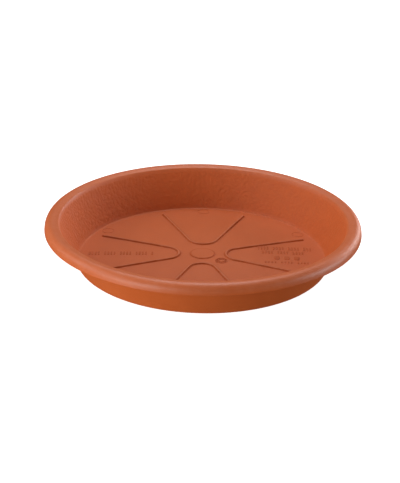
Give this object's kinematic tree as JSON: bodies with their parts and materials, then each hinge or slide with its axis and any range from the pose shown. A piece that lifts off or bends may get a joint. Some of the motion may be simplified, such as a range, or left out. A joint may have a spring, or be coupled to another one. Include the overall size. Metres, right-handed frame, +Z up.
{
  "type": "plant pot saucer",
  "caption": "Round one-piece moulded saucer for a plant pot, with a flared wall, a rounded down-turned rim and raised petal-shaped ribs on its floor.",
  "frame": {"origin": "centre of the foot ring, in the plane that the saucer stands on", "axes": "+Z up along the saucer's axis; the ribs' petals point along +X, +Y, -X and -Y"},
  "size_m": [0.2998, 0.2998, 0.0419],
  "materials": {
    "terracotta_plastic": "satin injection-moulded polypropylene, terracotta coloured, with a very fine grain"
  },
  "bodies": {
    "root": {"saucer": "terracotta_plastic"}
  },
  "joints": []
}
